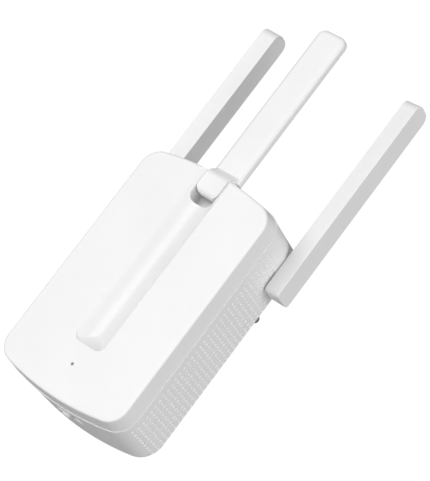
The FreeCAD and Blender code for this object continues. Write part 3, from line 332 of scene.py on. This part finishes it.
def add_dimple(mesh, centre, inward):
    """Adds one closed bowl-shaped cutter, its axis along inward."""
    turn = inward.to_track_quat("Z", "Y")
    rings = []
    for radius, depth in dimple_profile()[:-1]:
        ring = []
        for step in range(DIMPLE_SEGMENTS):
            angle = math.tau * step / DIMPLE_SEGMENTS
            local = Vector((radius * math.cos(angle), radius * math.sin(angle), depth))
            ring.append(mesh.verts.new(centre + turn @ local))
        rings.append(ring)
    tip = mesh.verts.new(centre + turn @ Vector((0, 0, DIMPLE_DEPTH)))
    mesh.faces.new(reversed(rings[0]))
    for outer, inner in zip(rings, rings[1:]):
        for step in range(DIMPLE_SEGMENTS):
            following = (step + 1) % DIMPLE_SEGMENTS
            mesh.faces.new((outer[step], outer[following], inner[following], inner[step]))
    for step in range(DIMPLE_SEGMENTS):
        mesh.faces.new((rings[-1][step], rings[-1][(step + 1) % DIMPLE_SEGMENTS], tip))


def dimple_places(wall, hinge):
    """Points on both side walls, and the way into the wall at each."""
    first_y = cad_front + DIMPLE_FIRST_DEPTH
    for side in (-1, 1):
        for column in range(DIMPLE_COLUMNS):
            for row in range(DIMPLE_ROWS):
                y = first_y + column * DIMPLE_COLUMN_PITCH
                z = DIMPLE_LOWEST + row * DIMPLE_ROW_PITCH
                if math.hypot(y - hinge[1], z - hinge[2]) < HINGE_CLEAR_RADIUS:
                    continue
                start = Vector((side * WALL_PROBE, y, z))
                hit, normal, _, _ = wall.ray_cast(start, Vector((-side, 0, 0)))
                yield hit, -normal


def normal_at(mesh, corner_normals, triangle_index, point):
    """The CAD surface's smooth normal at a point on one of its triangles."""
    face = mesh.polygons[triangle_index]
    corners = [mesh.vertices[index].co for index in face.vertices[:3]]
    normals = [corner_normals[index].vector for index in list(face.loop_indices)[:3]]
    whole = (corners[1] - corners[0]).cross(corners[2] - corners[0])
    size = whole.length_squared
    if size == 0:
        return face.normal
    shares = []
    for index in range(3):
        part = (corners[(index + 1) % 3] - point).cross(corners[(index + 2) % 3] - point)
        shares.append(min(max(part.dot(whole) / size, 0.0), 1.0))
    blend = sum((normal * share for normal, share in zip(normals, shares)), Vector())
    return blend.normalized() if blend.length > 0 else face.normal


def keep_smooth_normals(result, source):
    """Gives the uncut wall the CAD surface's normals, and lets the dimples shade smoothly."""
    corner_normals = source.corner_normals
    surface = BVHTree.FromPolygons([vertex.co for vertex in source.vertices],
                                   [tuple(face.vertices) for face in source.polygons])
    normals = [Vector()] * len(result.loops)
    for face in result.polygons:
        off_surface = surface.find_nearest(face.center)[3] > DIMPLE_FACE_DEPTH
        for loop_index in face.loop_indices:
            vertex = result.vertices[result.loops[loop_index].vertex_index]
            if off_surface:
                normals[loop_index] = vertex.normal.copy()
                continue
            inside = vertex.co.lerp(face.center, CORNER_INSET)
            triangle_index = surface.find_nearest(inside)[2]
            normals[loop_index] = normal_at(source, corner_normals, triangle_index, vertex.co)
    result.normals_split_custom_set(normals)


def linked(name, data):
    """New object in the scene."""
    thing = bpy.data.objects.new(name, data)
    bpy.context.scene.collection.objects.link(thing)
    return thing


def object_from(shape, name):
    """Turns a bmesh into an object and frees it."""
    mesh = bpy.data.meshes.new(name)
    shape.to_mesh(mesh)
    shape.free()
    return linked(name, mesh)


def dimple_cutters(wall):
    """All the dimples' cutters as one object."""
    hinge = next(joint for joint in frame["joints"] if joint["name"] == "right_antenna_fold")["pos_m"]
    cutters = bmesh.new()
    for centre, inward in dimple_places(wall, hinge):
        add_dimple(cutters, centre, inward)
    return object_from(cutters, "dimple_cutters")


def dimpled_housing():
    """Copy of the CAD housing with its dimples cut out."""
    source = cad_nodes["rear_housing"]
    shape = bmesh.new()
    shape.from_mesh(source.data)
    bmesh.ops.remove_doubles(shape, verts=shape.verts, dist=MERGE_DISTANCE)
    wall = BVHTree.FromBMesh(shape)
    housing = object_from(shape, "rear_housing_dimpled")
    cutter = dimple_cutters(wall)

    cut = housing.modifiers.new("dimples", "BOOLEAN")
    cut.operation = "DIFFERENCE"
    cut.object = cutter
    cut.solver = "EXACT"
    bpy.context.view_layer.update()
    evaluated = housing.evaluated_get(bpy.context.evaluated_depsgraph_get())
    result = bpy.data.meshes.new_from_object(evaluated)
    housing.modifiers.clear()
    housing.data = result
    bpy.data.objects.remove(cutter)
    result.polygons.foreach_set("use_smooth", [True] * len(result.polygons))
    keep_smooth_normals(result, source.data)
    return housing


cad_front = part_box("front_cover")[0].y
housing = dimpled_housing()
dress(housing, "white_shell")
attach(housing, "housing")
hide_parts("rear_housing")


# ---- stage ------------------------------------------------------------------------------------
def look_direction(azimuth, elevation):
    """Way that something looks when it stands at this azimuth and elevation and faces the object."""
    a = math.radians(azimuth)
    e = math.radians(elevation)
    return Vector((-math.sin(a) * math.cos(e), math.cos(a) * math.cos(e), -math.sin(e)))


def add_camera():
    data = bpy.data.cameras.new("camera")
    data.lens = CAMERA_LENS
    data.clip_start = CAMERA_NEAR
    data.clip_end = CAMERA_FAR
    camera = linked("camera", data)
    forward = look_direction(CAMERA_AZIMUTH, CAMERA_ELEVATION)
    level = forward.to_track_quat("-Z", "Y").to_matrix()
    roll = Matrix.Rotation(math.radians(CAMERA_ROLL), 3, forward)
    camera.matrix_world = Matrix.Translation(CAMERA_PLACE) @ (roll @ level).to_4x4()
    bpy.context.scene.camera = camera


def add_light(name, azimuth, elevation, distance, size, power):
    """Square soft box that faces the middle of the object."""
    data = bpy.data.lights.new(name, "AREA")
    data.shape = "SQUARE"
    data.size = size
    data.energy = power
    light = linked(name, data)
    middle = (cad_low + cad_high) / 2
    forward = look_direction(azimuth, elevation)
    light.location = middle - forward * distance
    light.rotation_mode = "QUATERNION"
    light.rotation_quaternion = forward.to_track_quat("-Z", "Y")


def add_world(seen, cast):
    """Plain white surroundings, brighter behind the object than the light they cast on it."""
    world = bpy.data.worlds.new("studio")
    world.use_nodes = True
    bpy.context.scene.world = world
    tree = world.node_tree
    tree.nodes.clear()
    rays = tree.nodes.new("ShaderNodeLightPath")
    blend = tree.nodes.new("ShaderNodeMixShader")
    output = tree.nodes.new("ShaderNodeOutputWorld")
    tree.links.new(rays.outputs["Is Camera Ray"], blend.inputs[0])
    for slot_index, strength in ((1, cast), (2, seen)):
        background = tree.nodes.new("ShaderNodeBackground")
        background.inputs["Color"].default_value = WHITE
        background.inputs["Strength"].default_value = strength
        tree.links.new(background.outputs["Background"], blend.inputs[slot_index])
    tree.links.new(blend.outputs["Shader"], output.inputs["Surface"])


def add_floor():
    mesh = bpy.data.meshes.new("floor")
    half = FLOOR_HALF_WIDTH
    level = cad_low.z - FLOOR_DROP
    corners = [(-half, -half, level), (half, -half, level), (half, half, level), (-half, half, level)]
    mesh.from_pydata(corners, [], [(0, 1, 2, 3)])
    floor = linked("floor", mesh)
    g = Graph("floor_look")
    g.colour(g.ramp(g.noise(FLOOR_CLOUD), [(0.3, grey(0.86)), (0.7, grey(0.88))]))
    g.rough(g.between(g.noise(FLOOR_GLOSS_PATCH), 0.85, 0.95))
    mesh.materials.append(g.material)


add_camera()
add_world(WORLD_SEEN, WORLD_CAST)
add_light("key", *KEY_LIGHT)
add_light("side", *SIDE_LIGHT)
add_floor()
bpy.context.scene.view_settings.view_transform = "Standard"
